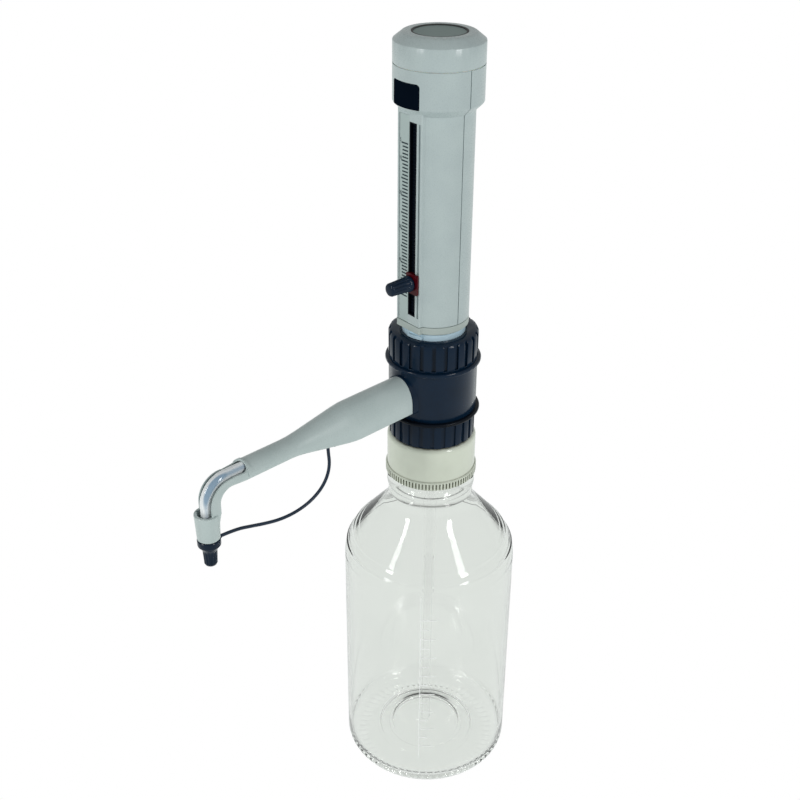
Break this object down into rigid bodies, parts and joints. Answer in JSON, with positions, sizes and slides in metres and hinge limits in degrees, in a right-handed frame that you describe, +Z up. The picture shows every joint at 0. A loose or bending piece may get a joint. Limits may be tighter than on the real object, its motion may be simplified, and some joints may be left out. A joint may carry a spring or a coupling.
{
  "type": "bottle top dispenser",
  "caption": "Piston dispenser screwed on a glass reagent bottle, with a volume scale and pointer, a swivelling valve block and a long discharge arm with a tethered nozzle cap.",
  "frame": {"origin": "centre of the ring that the bottle stands on", "axes": "+Z up along the bottle's axis; the discharge arm, the nozzle and the scale face -Y"},
  "size_m": [0.101, 0.2121, 0.4528],
  "materials": {
    "bottle_glass": "clear moulded borosilicate glass",
    "adapter_plastic": "moulded cream polypropylene",
    "seal_ptfe": "white PTFE",
    "navy_plastic": "moulded navy polypropylene",
    "black_plastic": "black moulded plastic",
    "natural_plastic": "natural polypropylene",
    "valve_ceramic": "ground ceramic",
    "clear_tube": "clear fluoropolymer tube",
    "arm_grey": "satin light grey plastic",
    "tether_rubber": "navy elastomer",
    "gasket_rubber": "black elastomer",
    "barrel_glass": "precision bore glass",
    "blue_sleeve": "light blue plastic film on glass",
    "housing_grey": "satin light grey green plastic",
    "scale_plastic": "printed scale plate",
    "ring_grey": "grey green plastic",
    "window_black": "smoked window",
    "disc_grey": "grey plastic label disc",
    "fastener_steel": "stainless steel",
    "seal_ring": "PFA lip seals",
    "pointer_red": "dark red moulded plastic"
  },
  "bodies": {
    "bottle": {"glass_bottle": "bottle_glass"},
    "adapter": {"thread_adapter": "adapter_plastic", "bottle_seal": "seal_ptfe", "lower_union_nut": "navy_plastic"},
    "valve_block": {"swivel_ring": "black_plastic", "collar_shell": "navy_plastic", "valve_body": "natural_plastic", "suction_seat": "valve_ceramic", "discharge_seat": "valve_ceramic", "outlet_union": "natural_plastic", "discharge_tube": "clear_tube", "arm_cover": "arm_grey", "tether_anchor": "tether_rubber", "tether": "tether_rubber", "barrel_gasket": "gasket_rubber", "glass_barrel": "barrel_glass", "guide_sleeve": "blue_sleeve", "upper_union_nut": "navy_plastic", "filling_tube": "clear_tube"},
    "housing": {"front_shell": "housing_grey", "back_shell": "housing_grey", "scale_plate": "scale_plastic", "slot_channel": "black_plastic", "base_ring": "ring_grey", "guide_bush": "ring_grey", "head_window": "window_black", "head_carrier": "natural_plastic", "head_cap": "housing_grey", "head_disc": "disc_grey", "cap_screws": "fastener_steel", "rod_nut": "fastener_steel", "piston_rod": "fastener_steel", "piston": "seal_ptfe", "piston_seals": "seal_ring"},
    "volume_pointer": {"pointer_carriage": "pointer_red"},
    "knob": {"pointer_knob": "navy_plastic", "clamp_stud": "fastener_steel"},
    "outlet_cap": {"nozzle_cap": "navy_plastic"},
    "suction_valve": {"suction_ball": "valve_ceramic"},
    "discharge_valve": {"discharge_ball": "valve_ceramic"},
    "lower_tube": {"telescopic_tube": "clear_tube"}
  },
  "joints": [
    {"name": "adapter_lift", "type": "slide", "parent": "bottle", "child": "adapter", "axis": [0, 0, 1], "range_m": [0, 0.23]},
    {"name": "block_swivel", "type": "hinge", "parent": "adapter", "child": "valve_block", "pos_m": [0, 0, 0.2436], "axis": [0, 0, 1], "continuous": true},
    {"name": "piston_stroke", "type": "slide", "parent": "valve_block", "child": "housing", "axis": [0, 0, 1], "range_m": [0, 0.091]},
    {"name": "pointer_slide", "type": "slide", "parent": "housing", "child": "volume_pointer", "axis": [0, 0, 1], "range_m": [-0.0091, 0.0728]},
    {"name": "knob_turn", "type": "hinge", "parent": "volume_pointer", "child": "knob", "pos_m": [0.00155, -0.02044, 0.3276], "axis": [-0.0628, -0.998, 0], "range_deg": [0, 180]},
    {"name": "cap_pull", "type": "slide", "parent": "valve_block", "child": "outlet_cap", "axis": [0, 0, -1], "range_m": [0, 0.018]},
    {"name": "suction_ball_lift", "type": "slide", "parent": "valve_block", "child": "suction_valve", "axis": [0, 0, 1], "range_m": [0, 0.0012]},
    {"name": "discharge_ball_lift", "type": "slide", "parent": "valve_block", "child": "discharge_valve", "axis": [0, -1, 0], "range_m": [0, 0.0012]},
    {"name": "tube_telescope", "type": "slide", "parent": "valve_block", "child": "lower_tube", "axis": [0, 0, 1], "range_m": [0, 0.09]}
  ]
}
